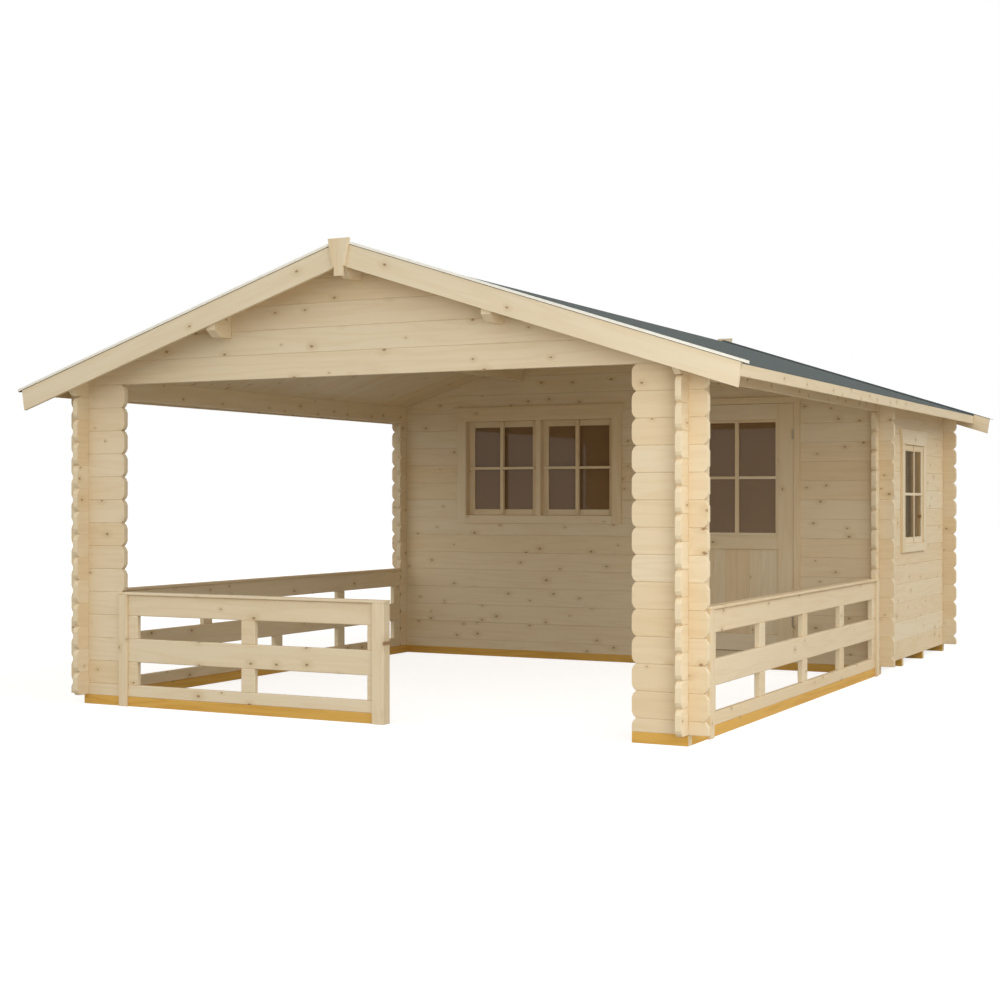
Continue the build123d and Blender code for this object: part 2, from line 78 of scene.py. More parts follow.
def shade(red, green, blue):
    """A colour as seen on a screen, 0 to 255, made linear for the shaders."""
    levels = [value / 255 for value in (red, green, blue)]
    return tuple(v / 12.92 if v < 0.04045 else ((v + 0.055) / 1.055) ** 2.4 for v in levels) + (1,)


# Colours
WHITE = (1, 1, 1, 1)
SPRUCE_PALE, SPRUCE_DEEP = shade(240, 225, 195), shade(229, 208, 171)
SPRUCE_WARM = shade(246, 232, 210)
SAWN_PALE, SAWN_DEEP = shade(244, 229, 197), shade(230, 209, 171)
# The joint colour is the shade of the V between two logs, painted
KNOT, KNOT_HALO, JOINT_SHADE_PAINT = shade(150, 106, 66), shade(196, 168, 112), shade(120, 90, 55)
BEAM_PALE, BEAM_DEEP = shade(232, 190, 104), shade(205, 152, 62)
SLATE_DARK, SLATE_LIGHT = shade(64, 73, 73), shade(115, 123, 121)
# The felt's edge colour is painted shade, the brown of the shadow under the cap strip
FELT_PATCH, FELT_EDGE_SHADE = shade(93, 97, 90), shade(112, 92, 66)
# The strip's near-white is a painted highlight, the top light on its edge
STRIP_HIGHLIGHT_PALE, STRIP_HIGHLIGHT_DEEP = shade(252, 250, 240), shade(246, 241, 224)
# The brown glass colour is painted shade of the dim room behind the panes
GLASS_ROOM_SHADE, CLEAR_GLASS = shade(172, 140, 99), shade(236, 214, 172)
STEEL_PALE, STEEL_DEEP = shade(158, 148, 130), shade(134, 124, 106)
FLOOR_GREY = shade(181, 176, 167)


def node(tree, kind, feeds=(), **settings):
    """A shader node with its settings made and its sockets fed."""
    made = tree.nodes.new("ShaderNode" + kind)
    for name, value in settings.items():
        setattr(made, name, value)
    fill(tree, made, dict(feeds))
    return made


def fill(tree, made, feeds):
    """Feeds the sockets of a node, each with a link or a value."""
    for key, feed in feeds.items():
        if isinstance(feed, bpy.types.NodeSocket):
            tree.links.new(feed, made.inputs[key])
        else:
            made.inputs[key].default_value = feed


def calc(tree, operation, *values, clamp=False):
    """The result of one sum on numbers or sockets."""
    return node(tree, "Math", enumerate(values), operation=operation, use_clamp=clamp).outputs[0]


def ramp(tree, value, low, high, to_low=0.0, to_high=1.0):
    """A value moved from one range to another and held inside it."""
    feeds = {"Value": value, "From Min": low, "From Max": high, "To Min": to_low, "To Max": to_high}
    return node(tree, "MapRange", feeds, clamp=True).outputs[0]


def blend_colours(tree, amount, first, second, way="MIX"):
    """Two colours mixed by an amount."""
    mixed = node(tree, "Mix", {0: amount, 6: first, 7: second}, data_type="RGBA", blend_type=way)
    return mixed.outputs[2]


def split(tree, vector):
    """The three coordinates of a vector."""
    return node(tree, "SeparateXYZ", {0: vector}).outputs


def join(tree, *axes):
    """Three coordinates as one vector."""
    return node(tree, "CombineXYZ", enumerate(axes)).outputs[0]


def stretched(tree, place, *factors):
    """A place with each coordinate times its own factor."""
    axes = [calc(tree, "MULTIPLY", axis, factor) for axis, factor in zip(place, factors)]
    return join(tree, *axes)


def noise(tree, vector, scale, detail):
    """Noise from 0 to 1, of so many lumps a metre."""
    feeds = {"Vector": vector, "Scale": scale, "Detail": detail}
    return node(tree, "TexNoise", feeds).outputs[0]


def effect(name, takes, gives):
    """An empty node group with named sockets, and its two ends."""
    group = bpy.data.node_groups.new(name, "ShaderNodeTree")
    for label, kind, value in takes:
        socket = group.interface.new_socket(label, in_out="INPUT", socket_type="NodeSocket" + kind)
        if value is not None:
            socket.default_value = value
    for label, kind in gives:
        group.interface.new_socket(label, in_out="OUTPUT", socket_type="NodeSocket" + kind)
    return group, group.nodes.new("NodeGroupInput"), group.nodes.new("NodeGroupOutput")


def make_spruce():
    """Planed spruce: flamed figure, fine fibres, knots, and end grain where it is cut."""
    takes = [
        ("Vector", "Vector", None),
        ("Tone", "Float", 0.5),
        ("Cut end", "Float", 0.0),
        ("Knots", "Float", 0.5),
        ("Pale", "Color", SPRUCE_PALE),
        ("Deep", "Color", SPRUCE_DEEP),
    ]
    gives = [("Color", "Color"), ("Roughness", "Float"), ("Height", "Float")]
    tree, start, end = effect("planed spruce", takes, gives)
    along, up, deep = split(tree, start.outputs["Vector"])

    # Knots: at most one in each cell of 19 by 12 cm, its size a share of the cell,
    # and the fibres swirl round it
    cells_along, cells_up, smallest, largest, bend = 5.2, 8.2, 0.03, 0.085, 0.02
    cells = stretched(tree, (along, up, deep), cells_along, cells_up, 0.0)
    spots = node(tree, "TexVoronoi", {"Vector": cells, "Scale": 1.0}, voronoi_dimensions="2D")
    luck = node(tree, "SeparateColor", {0: spots.outputs["Color"]})
    size = ramp(tree, luck.outputs[1], 0.0, 1.0, smallest, largest)
    chosen = calc(tree, "LESS_THAN", luck.outputs[0], start.outputs["Knots"])
    apart = spots.outputs["Distance"]
    soft_rim = calc(tree, "MULTIPLY", size, 0.7)
    inside = calc(tree, "DIVIDE", calc(tree, "SUBTRACT", size, apart), soft_rim)
    knot = calc(tree, "MULTIPLY", calc(tree, "ADD", inside, 0.0, clamp=True), chosen)
    reach = calc(tree, "MULTIPLY", size, 4.0)
    swirl = calc(tree, "MULTIPLY", ramp(tree, apart, size, reach, 1.0, 0.0), chosen)
    bent = calc(tree, "MULTIPLY_ADD", swirl, bend, up)

    # Figure: contour lines of a broad noise. Fibres: a fine noise drawn out along the grain
    lines = 13.0
    broad = stretched(tree, (along, bent, deep), 0.7, 9.0, 9.0)
    rings = calc(tree, "MULTIPLY", noise(tree, broad, 1.0, 2.0), lines)
    rings = calc(tree, "PINGPONG", rings, 1.0)
    figure = ramp(tree, rings, 0.35, 1.0)
    fibres = noise(tree, stretched(tree, (along, bent, deep), 9.0, 300.0, 300.0), 1.0, 3.0)

    depth = calc(tree, "MULTIPLY_ADD", fibres, 0.4, calc(tree, "MULTIPLY", figure, 0.34))
    wood = blend_colours(tree, depth, start.outputs["Pale"], start.outputs["Deep"])
    warm = ramp(tree, start.outputs["Tone"], 0.0, 1.0, 0.0, 0.55)
    wood = blend_colours(tree, warm, wood, blend_colours(tree, 1.0, wood, SPRUCE_WARM, "MULTIPLY"))
    wood = blend_colours(tree, calc(tree, "MULTIPLY", swirl, 0.3), wood, KNOT_HALO)
    wood = blend_colours(tree, calc(tree, "MULTIPLY", knot, 0.85), wood, KNOT)

    # End grain: year rings round a heart a little off the middle of the log
    off_up, off_deep = 0.011, 0.027
    heart = join(tree, 0.0, calc(tree, "ADD", up, off_up), calc(tree, "ADD", deep, off_deep))
    circles = node(
        tree,
        "TexWave",
        {"Vector": heart, "Scale": 60.0, "Distortion": 2.5, "Detail": 2.0, "Detail Scale": 2.0},
        wave_type="RINGS",
        rings_direction="X",
    )
    sawn = blend_colours(tree, circles.outputs[1], SAWN_PALE, SAWN_DEEP)
    wood = blend_colours(tree, start.outputs["Cut end"], wood, sawn)

    height = calc(tree, "MULTIPLY_ADD", fibres, 0.4, calc(tree, "MULTIPLY", figure, -0.25))
    height = calc(tree, "MULTIPLY_ADD", knot, 0.4, height)
    tree.links.new(wood, end.inputs["Color"])
    tree.links.new(ramp(tree, fibres, 0.3, 0.7, 0.5, 0.66), end.inputs["Roughness"])
    tree.links.new(height, end.inputs["Height"])
    return tree


def make_courses():
    """Splits a wall into logs, each with its own place in the grain and its own tone; marks the
    joints for painted shade.
    """
    takes = [
        ("Vector", "Vector", None),
        ("Base", "Float", 0.0),
        ("Height of a log", "Float", LOG_PITCH),
        ("Wall", "Float", 0.0),
    ]
    gives = [("Vector", "Vector"), ("Tone", "Float"), ("Joint", "Float")]
    tree, start, end = effect("log courses", takes, gives)
    along, up, deep = split(tree, start.outputs["Vector"])
    risen = calc(tree, "SUBTRACT", up, start.outputs["Base"])
    count = calc(tree, "DIVIDE", risen, start.outputs["Height of a log"])
    course = calc(tree, "FLOOR", count)
    pick = calc(tree, "MULTIPLY_ADD", start.outputs["Wall"], 37.0, course)
    luck = node(tree, "TexWhiteNoise", {"W": pick}, noise_dimensions="1D")
    jump = node(tree, "SeparateColor", {0: luck.outputs["Color"]}).outputs
    moved = [
        calc(tree, "MULTIPLY_ADD", share, metres, axis)
        for share, metres, axis in zip(jump, (31.0, 17.0, 13.0), (along, up, deep))
    ]
    part = calc(tree, "PINGPONG", calc(tree, "SUBTRACT", count, course), 0.5)
    from_joint = calc(tree, "MULTIPLY", part, start.outputs["Height of a log"])
    tree.links.new(join(tree, *moved), end.inputs["Vector"])
    tree.links.new(luck.outputs["Value"], end.inputs["Tone"])
    # Where the shade in the V between two logs is painted: dark in a core at the joint, fading out
    core, faded = 0.0008, 0.003
    tree.links.new(ramp(tree, from_joint, core, faded, 1.0, 0.0), end.inputs["Joint"])
    return tree


spruce = make_spruce()
courses = make_courses()


def new_material(name):
    """A material with only its main shader, ready to be fed."""
    material = bpy.data.materials.new(name)
    material.use_nodes = True
    tree = material.node_tree
    tree.nodes.clear()
    skin = tree.nodes.new("ShaderNodeBsdfPrincipled")
    tree.links.new(skin.outputs[0], tree.nodes.new("ShaderNodeOutputMaterial").inputs[0])
    return material, tree, skin


def object_place(tree):
    """Where on the object a point lies."""
    return node(tree, "TexCoord").outputs["Object"]


def turned_place(tree, along):
    """Object coordinates turned so that X runs with the grain and Y across it."""
    x, y, z = split(tree, object_place(tree))
    if along == "slope":
        flat = calc(tree, "ABSOLUTE", x)
        run = calc(tree, "MULTIPLY", flat, cos(ROOF_PITCH))
        run = calc(tree, "MULTIPLY_ADD", z, -sin(ROOF_PITCH), run)
        rise = calc(tree, "MULTIPLY", z, cos(ROOF_PITCH))
        rise = calc(tree, "MULTIPLY_ADD", flat, sin(ROOF_PITCH), rise)
        return join(tree, run, rise, y)
    return join(tree, *{"x": (x, z, y), "y": (y, z, x), "z": (z, x, y)}[along])


def cut_ends(tree, along):
    """1 on faces sawn across the grain."""
    axis = {"x": (1, 0, 0), "y": (0, 1, 0), "z": (0, 0, 1), "slope": (1, 0, 0)}[along]
    normal = node(tree, "NewGeometry").outputs["True Normal"]
    facing = node(tree, "VectorMath", {0: normal, 1: axis}, operation="DOT_PRODUCT")
    share = calc(tree, "ABSOLUTE", facing.outputs["Value"])
    return calc(tree, "GREATER_THAN", share, SAWN_ACROSS)


def finish_timber(tree, skin, grain, colour, height):
    """Colour and roughness of the grain, and a shallow bump."""
    bump = node(tree, "Bump", {"Height": height, "Distance": 0.0006, "Strength": 0.35})
    tree.links.new(colour, skin.inputs["Base Color"])
    tree.links.new(bump.outputs[0], skin.inputs["Normal"])
    tree.links.new(grain.outputs["Roughness"], skin.inputs["Roughness"])
    skin.inputs["Specular IOR Level"].default_value = 0.1


def log_timber(
    name, along, base=0.0, wall=0.0, log_high=LOG_PITCH, knots=0.42, joint_shade=0.0, tone=None
):
    """Spruce for a solid whose grain follows one axis, split into logs of one height."""
    material, tree, skin = new_material(name)
    place = turned_place(tree, along)
    feeds = {"Vector": place, "Base": base, "Height of a log": log_high, "Wall": wall}
    logs = node(tree, "Group", node_tree=courses)
    fill(tree, logs, feeds)
    grain = node(tree, "Group", node_tree=spruce)
    feeds = {"Vector": logs.outputs["Vector"], "Knots": knots, "Cut end": cut_ends(tree, along)}
    feeds["Tone"] = logs.outputs["Tone"] if tone is None else tone
    fill(tree, grain, feeds)
    colour, height = grain.outputs["Color"], grain.outputs["Height"]
    # Painted shade along the joints: the dark of the V between two logs, also on faces with no
    # groove, with a bump
    if joint_shade:
        amount = calc(tree, "MULTIPLY", logs.outputs["Joint"], joint_shade)
        colour = blend_colours(tree, amount, colour, JOINT_SHADE_PAINT)
        height = calc(tree, "MULTIPLY_ADD", logs.outputs["Joint"], -1.0, height)
    finish_timber(tree, skin, grain, colour, height)
    return material


def board_timber(name, knots):
    """Spruce for boards that carry their own place in the grain and their own tone."""
    material, tree, skin = new_material(name)
    place, tone, sawn = [
        node(tree, "Attribute", attribute_name=label).outputs for label in ("grain", "tone", "sawn")
    ]
    grain = node(tree, "Group", node_tree=spruce)
    feeds = {"Vector": place["Vector"], "Tone": tone["Fac"], "Knots": knots, "Cut end": sawn["Fac"]}
    fill(tree, grain, feeds)
    finish_timber(tree, skin, grain, grain.outputs["Color"], grain.outputs["Height"])
    return material


def beam_timber(name, along):
    """Impregnated foundation timber, honey yellow."""
    material, tree, skin = new_material(name)
    grain = node(tree, "Group", node_tree=spruce)
    feeds = {
        "Vector": turned_place(tree, along),
        "Tone": 0.5,
        "Knots": 0.3,
        "Cut end": cut_ends(tree, along),
        "Pale": BEAM_PALE,
        "Deep": BEAM_DEEP,
    }
    fill(tree, grain, feeds)
    finish_timber(tree, skin, grain, grain.outputs["Color"], grain.outputs["Height"])
    return material


def roofing_felt():
    """Mineral felt: slate grains, broad faint patches, and painted shade on its cut edge in front,
    the brown of the shadow under the cap strip.
    """
    material, tree, skin = new_material("mineral roofing felt")
    place = object_place(tree)
    grains = noise(tree, place, 420.0, 2.0)
    patches = noise(tree, place, 1.6, 3.0)
    colour = blend_colours(tree, ramp(tree, grains, 0.35, 0.65), SLATE_DARK, SLATE_LIGHT)
    colour = blend_colours(tree, ramp(tree, patches, 0.3, 0.7, 0.0, 0.25), colour, FELT_PATCH)
    # Painted shade: the felt's front cut edge, under the cap strip, takes the brown of a shadow
    in_front = calc(tree, "LESS_THAN", split(tree, place)[1], 0.0)
    shaded_cut_edge = calc(tree, "MULTIPLY", cut_ends(tree, "y"), in_front)
    colour = blend_colours(tree, shaded_cut_edge, colour, FELT_EDGE_SHADE)
    tree.links.new(colour, skin.inputs["Base Color"])
    bump = node(tree, "Bump", {"Height": grains, "Distance": 0.0012, "Strength": 0.6})
    tree.links.new(bump.outputs[0], skin.inputs["Normal"])
    tree.links.new(ramp(tree, grains, 0.3, 0.7, 0.82, 0.95), skin.inputs["Roughness"])
    skin.inputs["Specular IOR Level"].default_value = 0.15
    return material


def worn_surface(name, scale, detail, pale, deep, smooth, rough):
    """A surface of two close colours, with a gloss that changes a little over it."""
    material, tree, skin = new_material(name)
    marks = noise(tree, object_place(tree), scale, detail)
    colour = blend_colours(tree, ramp(tree, marks, 0.3, 0.7), pale, deep)
    tree.links.new(colour, skin.inputs["Base Color"])
    tree.links.new(ramp(tree, marks, 0.3, 0.7, smooth, rough), skin.inputs["Roughness"])
    return material, skin


def strip_with_painted_highlight():
    """The strip over the barge boards, near-white: a painted highlight in place of the top light
    that a rounded edge would catch.
    """
    return worn_surface(
        "strip with painted highlight",
        scale=30.0,
        detail=4.0,
        pale=STRIP_HIGHLIGHT_PALE,
        deep=STRIP_HIGHLIGHT_DEEP,
        smooth=0.5,
        rough=0.65,
    )[0]


def satin_steel():
    """Zinc-plated steel of the handle and the hinges, with fine rubbed marks."""
    material, skin = worn_surface(
        "satin steel",
        scale=160.0,
        detail=3.0,
        pale=STEEL_PALE,
        deep=STEEL_DEEP,
        smooth=0.28,
        rough=0.42,
    )
    skin.inputs["Metallic"].default_value = 1.0
    return material


def window_pane(name, tint_and_room_shade, clear, refraction, gloss):
    """Glass with a base colour and a trace of dust in its gloss; on the brown panes that colour is
    painted shade of the dim room behind them.
    """
    material, tree, skin = new_material(name)
    dust = noise(tree, object_place(tree), 14.0, 4.0)
    tree.links.new(ramp(tree, dust, 0.35, 0.75, 0.0, 0.04), skin.inputs["Roughness"])
    skin.inputs["Base Color"].default_value = tint_and_room_shade
    skin.inputs["Transmission Weight"].default_value = clear
    skin.inputs["IOR"].default_value = refraction
    skin.inputs["Specular IOR Level"].default_value = gloss
    return material


def dress(material, *names):
    """Gives CAD nodes their material."""
    for name in names:
        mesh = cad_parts[name].data
        mesh.materials.clear()
        mesh.materials.append(material)


def dress_cad_nodes():
    """A material for each solid drawn from its own shape, which the pieces that stand for it take
    over.
    """
    # How strongly shade is painted along the log joints
    joint = 0.12
    cross = ["front_left_cross_logs", "front_right_cross_logs", "front_gable", "cabin_front_gable"]
    cross += ["cabin_front_sill_log", "cabin_rear_wall", "cabin_rear_gable"]
    for number, name in enumerate(cross, 1):
        logs = log_timber("logs of " + name, "x", CROSS_BASE, float(number), joint_shade=joint)
        dress(logs, name)
    room_front = log_timber(
        "logs of the room's front", "x", CROSS_BASE, wall=20.0, joint_shade=joint
    )
    dress(room_front, "cabin_front_wall_left", "cabin_front_wall_right")
    side = ["front_left_side_logs", "front_right_side_logs", "cabin_left_wall", "cabin_right_wall"]
    for number, name in enumerate(side, 30):
        logs = log_timber("logs of " + name, "y", SIDE_BASE, float(number), joint_shade=joint)
        dress(logs, name)

    # Timbers that aren't laid in courses: the height of a log is set well over their own
    lengthwise = log_timber("long timber", "y", wall=40.0, log_high=0.6)
    dress(lengthwise, "wall_plates", "ridge_purlin", "side_purlins", "eave_boards")
    barges = log_timber("barge timber", "slope", wall=50.0, log_high=6.0, knots=0.3, tone=0.0)
    dress(barges, "barge_boards")
    dress(log_timber("finial timber", "z", wall=60.0, log_high=6.0, knots=0.1), "finials")

    across = beam_timber("foundation timber across", "x")
    dress(across, "front_beams", "cabin_front_beam", "floor_joists")
    dress(beam_timber("foundation timber along", "y"), "side_beams")
    # The cap strip gets a near-white with its highlight painted in
    dress(strip_with_painted_highlight(), "barge_cap")
    dress(roofing_felt(), "roof_felt")
    # The brown of the front panes and the door's glass is painted shade of the dim room behind, on
    # the half that isn't clear
    glass_with_room_shade = window_pane("glass with painted room shade", GLASS_ROOM_SHADE, clear=0.48, refraction=1.3, gloss=1.0)
    dress(glass_with_room_shade, "window_glass", "door_glass")
    dress(satin_steel(), "door_handle", "frame_hinge_halves", "leaf_hinge_halves")


def add_piece(name, mesh, material, nodes, body="house"):
    """A mesh made a piece that rides on a body and stands for CAD nodes."""
    mesh.materials.append(material)
    piece = bpy.data.objects.new(name, mesh)
    bpy.context.scene.collection.objects.link(piece)
    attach(piece, body)
    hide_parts(*nodes)


def mesh_of(name, shape):
    """A new mesh with a bmesh's shape."""
    mesh = bpy.data.meshes.new(name)
    shape.to_mesh(mesh)
    shape.free()
    return mesh


class Joinery:
    """Boards gathered into one piece, each with its own place in the grain."""

    def __init__(self):
        self.mesh = bmesh.new()
        self.grain = []
        self.tone = []
        self.sawn = []

    def board(self, low, high, along, ease, lean=None, place=None):
        """One board between two corners, its edges eased, its grain along one axis."""
        low, high = Vector(low), Vector(high)
        block = bmesh.new()
        size = Matrix.Diagonal((*(high - low), 1))
        middle = Matrix.Translation((low + high) / 2)
        bmesh.ops.create_cube(block, size=1, matrix=middle @ size)
        if lean:
            lean(block)
        bmesh.ops.bevel(
            block,
            geom=block.edges[:],
            offset=ease,
            segments=1,
            profile=0.5,
            affect="EDGES",
            material=-1,
        )
        axes = {"x": (0, 2, 1), "z": (2, 0, 1), "flat x": (0, 1, 2), "flat y": (1, 0, 2)}[along]
        jump = (chance.uniform(0, 60), chance.uniform(0, 30), chance.uniform(0, 30))
        tone = chance.random()
        for vertex in block.verts:
            self.grain += [vertex.co[axis] + metres for axis, metres in zip(axes, jump)]
            self.tone.append(tone)
        for face in block.faces:
            self.sawn.append(1.0 if abs(face.normal[axes[0]]) > SAWN_ACROSS else 0.0)
        if place:
            bmesh.ops.transform(block, matrix=place, verts=block.verts)
        kept = mesh_of("board", block)
        self.mesh.from_mesh(kept)
        bpy.data.meshes.remove(kept)

    def finish(self, name, material, nodes, body="house"):
        """The boards as one piece, with the places that their material reads."""
        mesh = mesh_of(name, self.mesh)
        for label, kind, domain, field, values in (
            ("grain", "FLOAT_VECTOR", "POINT", "vector", self.grain),
            ("tone", "FLOAT", "POINT", "value", self.tone),
            ("sawn", "FLOAT", "FACE", "value", self.sawn),
        ):
            mesh.attributes.new(label, kind, domain).data.foreach_set(field, values)
        add_piece(name, mesh, material, nodes, body)


def ease_edges(name, worn):
    """A solid's own shape as a piece, its outward edges rubbed round as planed timber's are."""
    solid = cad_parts[name].data
    shape = bmesh.new()
    shape.from_mesh(solid)
    slightest_edge, flat, sharp = 0.0016, radians(1), radians(20)
    bmesh.ops.remove_doubles(shape, verts=shape.verts, dist=slightest_edge)
    bmesh.ops.dissolve_limit(shape, angle_limit=flat, verts=shape.verts, edges=shape.edges)
    top = max(vertex.co.z for vertex in shape.verts)
    bmesh.ops.bevel(
        shape,
        geom=[edge for edge in shape.edges if edge.is_convex and edge.calc_face_angle(0) > sharp],
        offset=worn,
        segments=2,
        profile=0.5,
        affect="EDGES",
        material=-1,
        clamp_overlap=True,
    )
    for vertex in shape.verts:
        vertex.co.z = min(vertex.co.z, top)
    add_piece(name + "_eased", mesh_of(name + "_eased", shape), solid.materials[0], (name,))


def ease_timber():
    """Eased edges on the log walls, the gables, the long timbers and the beams."""
    planed = ["front_left_cross_logs", "front_right_cross_logs", "front_left_side_logs"]
    planed += ["front_right_side_logs", "cabin_left_wall", "cabin_right_wall", "cabin_rear_wall"]
    planed += ["cabin_front_wall_left", "cabin_front_wall_right", "front_gable"]
    planed += ["cabin_front_gable", "cabin_rear_gable", "eave_boards", "ridge_purlin"]
    planed += ["side_purlins", "wall_plates", "finials"]
    for name in planed:
        ease_edges(name, 0.002)
    for name in ("front_beams", "side_beams", "cabin_front_beam", "floor_joists"):
        ease_edges(name, 0.003)


def set_panes():
    """The double window's panes, and the side window's, in which little is mirrored."""
    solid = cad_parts["window_glass"].data
    clear_glass = window_pane("clear glass", CLEAR_GLASS, clear=0.95, refraction=1.03, gloss=0.1)
    for name, on_side, glass in (
        ("double_window_panes", False, solid.materials[0]),
        ("side_window_panes", True, clear_glass),
    ):
        shape = bmesh.new()
        shape.from_mesh(solid)
        others = [point for point in shape.verts if (point.co.x > HALF_WIDTH - 0.1) != on_side]
        bmesh.ops.delete(shape, geom=others, context="VERTS")
        bmesh.ops.remove_doubles(shape, verts=shape.verts, dist=0.00002)
        add_piece(name, mesh_of(name, shape), glass, ("window_glass",))


def lay_roof_boards(material):
    """Boards down each slope, tongued side by side from gable end to gable end."""
    length = ROOF_HALF_WIDE / cos(ROOF_PITCH)
    pitch = 2 * ROOF_HALF_LONG / ROOF_BOARDS
    for side, name in ((-1, "left"), (1, "right")):
        boards = Joinery()
        turn = Matrix.Rotation(side * ROOF_PITCH, 4, "Y")
        lay = Matrix.Translation((0, 0, RIDGE_UNDER)) @ turn
        x0, x1 = sorted((0, side * length))

        def mitre(block):
            for vertex in block.verts:
                vertex.co.x -= side * vertex.co.z * tan(ROOF_PITCH)

        for n in range(ROOF_BOARDS):
            y = n * pitch - ROOF_HALF_LONG
            low, high = (x0, y, 0), (x1, y + pitch, ROOF_BOARD_THICK)
            boards.board(low, high, "flat x", 0.0008, mitre, lay)
        boards.finish("roof_boarding_" + name, material, ("roof_boards_" + name,))


def lay_floor(material):
    """Floor boards from the room's front to its back."""
    low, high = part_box("floor_boards")
    boards = Joinery()
    pitch = (high[0] - low[0]) / FLOOR_BOARDS
    for n in range(FLOOR_BOARDS):
        x = low[0] + n * pitch
        boards.board((x, low[1], low[2]), (x + pitch, high[1], high[2]), "flat y", 0.0015)
    boards.finish("floor_boarding", material, ("floor_boards",))


def spacer_places(length, bays, end_spacer, spacer=0.093):
    """Where the spacers stand along a balustrade."""
    clear = (length - 2 * end_spacer - (bays - 1) * spacer) / bays
    places = [(0, end_spacer), (length - end_spacer, length)]
    for n in range(1, bays):
        x = end_spacer + n * clear + (n - 1) * spacer
        places.append((x, x + spacer))
    return places


def build_fences(material):
    """The log bands of the three balustrades and the spacers between them."""
    ease = 0.004
    front_spacers = spacer_places(FRONT_FENCE, bays=2, end_spacer=0.098)
    side_spacers = spacer_places(SIDE_FENCE, bays=4, end_spacer=0.095)
    for side, place, length, spacers in (
        ("front", FRONT_FENCE_PLACE, FRONT_FENCE, front_spacers),
        ("left", LEFT_FENCE_PLACE, SIDE_FENCE, side_spacers),
        ("right", RIGHT_FENCE_PLACE, SIDE_FENCE, side_spacers),
    ):
        boards = Joinery()
        for z0, z1 in LOG_BANDS:
            boards.board((0, 0, z0), (length, WALL, z1), "x", ease, place=place)
        for z0, z1 in SPACER_ROWS:
            for x0, x1 in spacers:
                boards.board((x0, 0, z0), (x1, WALL, z1), "x", ease, place=place)
        boards.finish(side + "_fence", material, (side + "_balustrade",))


def build_rails(material):
    """Cap rails on the balustrades and the upright trims over their ends."""
    rails, trims = Joinery(), Joinery()
    lap, lip, thick, wide, past_post, overlap = 0.028, 0.016, 0.016, 0.06, 0.02, 0.001
    rail_ease, trim_ease = 0.003, 0.002

    def rail(x0, y0, x1, y1, place):
        rails.board((x0, y0, FENCE_TOP), (x1, y1, RAIL_TOP), "flat x", rail_ease, place=place)

    def trim(x0, y0, x1, y1, place, foot=0):
        trims.board((x0, y0, foot), (x1, y1, FENCE_TOP), "z", trim_ease, place=place)

    place, end = FRONT_FENCE_PLACE, FRONT_FENCE
    rail(0, -lip, end + past_post, WALL + lip, place)
    rail(-lap, -lip, overlap, 0, place)
    trim(-lap, -thick, wide - lap, 0, place)
    trim(end - wide, -thick, end, 0, place)
    trim(end, -thick, end + thick, WALL + thick, place)
    trim(end - wide, WALL, end, WALL + thick, place, LOG_BANDS[0][0])
    end = SIDE_FENCE
    for place in (LEFT_FENCE_PLACE, RIGHT_FENCE_PLACE):
        rail(0, -lip, end, WALL + lip, place)
        for x0, x1 in ((-lap, overlap), (end - overlap, end + lap)):
            rail(x0, -lip, x1, 0, place)
        for x in (-lap, end + lap - wide):
            trim(x, -thick, x + wide, 0, place)
    rails.finish("cap_rails", material, ("rail_caps",))
    trims.finish("upright_trims", material, ("balustrade_trims",))


def build_window(material, lights, place, name, node_name):
    """Casings, lining and mullion of a window with one or two lights."""
    high = LIGHT_HIGH
    half = (lights * LIGHT_WIDE + (lights - 1) * MULLION) / 2
    outer, thick, foot = half + 0.074, 0.018, -0.062
    head_thick, head_high, flare = 0.021, 0.11, 0.034
    lining, inner = 0.016, 0.082
    ease, lining_ease = 0.0015, 0.001
    boards = Joinery()
    for x0, x1 in ((-outer, -half), (half, outer)):
        boards.board((x0, -thick, foot), (x1, 0, high), "z", ease, place=place)
    boards.board((-half, -thick, foot), (half, 0, 0), "x", ease, place=place)

    def spread_top(block):
        for vertex in block.verts:
            if vertex.co.z > high + head_high / 2:
                vertex.co.x += flare if vertex.co.x > 0 else -flare

    low_corner, high_corner = (-outer, -head_thick, high), (outer, 0, high + head_high)
    boards.board(low_corner, high_corner, "x", ease, spread_top, place)
    for x0, x1 in ((-half - lining, -half), (half, half + lining)):
        boards.board((x0, 0, -lining), (x1, inner, high + lining), "z", lining_ease, place=place)
    for z0, z1 in ((-lining, 0), (high, high + lining)):
        boards.board((-half, 0, z0), (half, inner, z1), "x", lining_ease, place=place)
    for n in range(1, lights):
        x = n * (LIGHT_WIDE + MULLION) - MULLION - half
        boards.board((x, 0, 0), (x + MULLION, inner, high), "z", ease, place=place)
    boards.finish(name, material, (node_name,))


def build_sashes(material):
    """Sashes, each with a lattice of two bars laid over its face."""
    bars_clear = 0.0005
    boards = Joinery()
    for place, lights, setback, bar_deep in (
        (DOUBLE_WINDOW, 2, 0.047, 0.03),
        (SIDE_WINDOW, 1, -0.008, 0.0045),
    ):
        half = (lights * LIGHT_WIDE + (lights - 1) * MULLION) / 2
        for n in range(lights):
            x0 = n * (LIGHT_WIDE + MULLION) - half
            x1 = x0 + LIGHT_WIDE
            build_sash(boards, x0 + SASH_GAP, x1 - SASH_GAP, setback, place)
            build_lattice(boards, x0, x1, setback - bar_deep, setback - bars_clear, place)
    boards.finish("sash_timber", material, ("window_sashes",))


